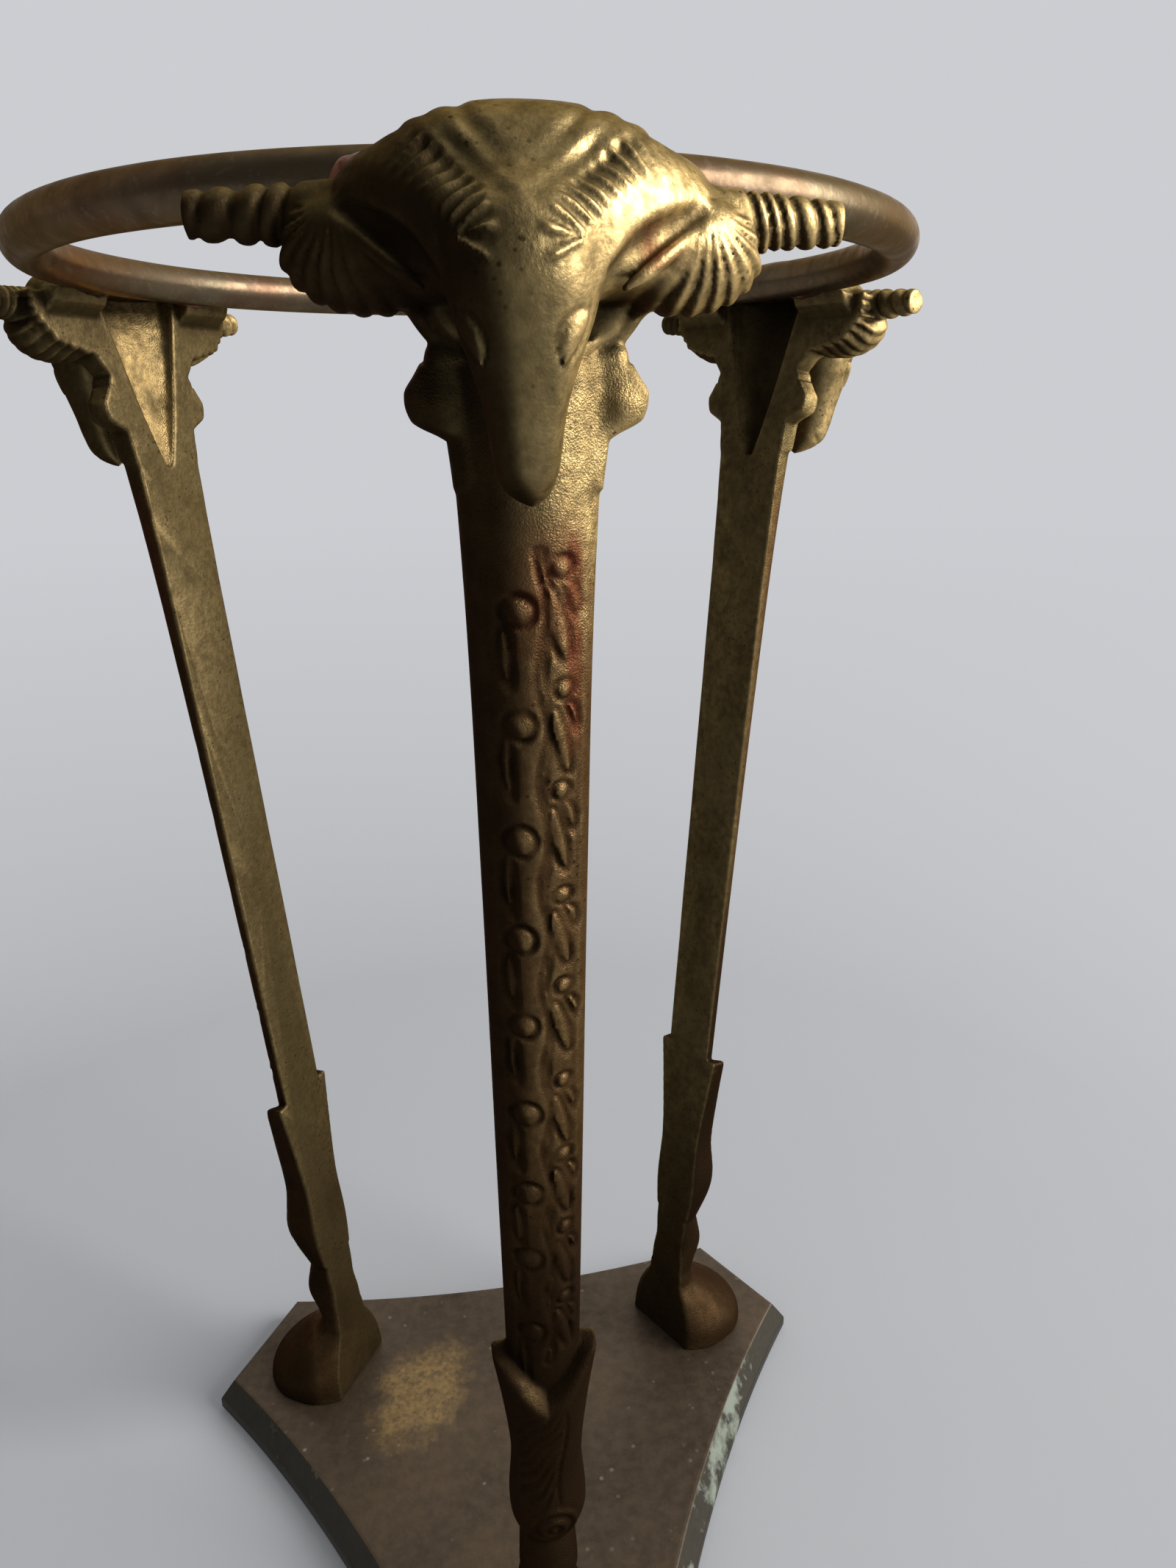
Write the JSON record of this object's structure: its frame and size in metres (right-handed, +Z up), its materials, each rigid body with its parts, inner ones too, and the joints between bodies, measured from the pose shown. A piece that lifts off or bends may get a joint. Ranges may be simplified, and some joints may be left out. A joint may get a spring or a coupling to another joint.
{
  "type": "tripod stand",
  "caption": "Cast brass tripod stand with ram's head legs on goat hooves, a round-rod ring above and a three-cornered base with hollowed sides.",
  "frame": {"origin": "on the stand's axis, on the underside of the base", "axes": "+Z up along the axis; -Y towards the front leg; +X towards the right as seen from the front"},
  "size_m": [0.1384, 0.1347, 0.2198],
  "materials": {
    "leg": "aged cast brass with dark recesses",
    "base": "dark brown patina",
    "ring": "brown tarnish, finely scratched",
    "braze": "coppery filler metal",
    "screw": "dull brass"
  },
  "bodies": {
    "root": {"base_plate": "base", "top_ring": "ring", "front_leg": "leg", "front_leg_screw": "screw", "front_leg_right_braze": "braze", "front_leg_left_braze": "braze", "right_leg": "leg", "right_leg_screw": "screw", "right_leg_right_braze": "braze", "right_leg_left_braze": "braze", "left_leg": "leg", "left_leg_screw": "screw", "left_leg_right_braze": "braze", "left_leg_left_braze": "braze"}
  },
  "joints": []
}
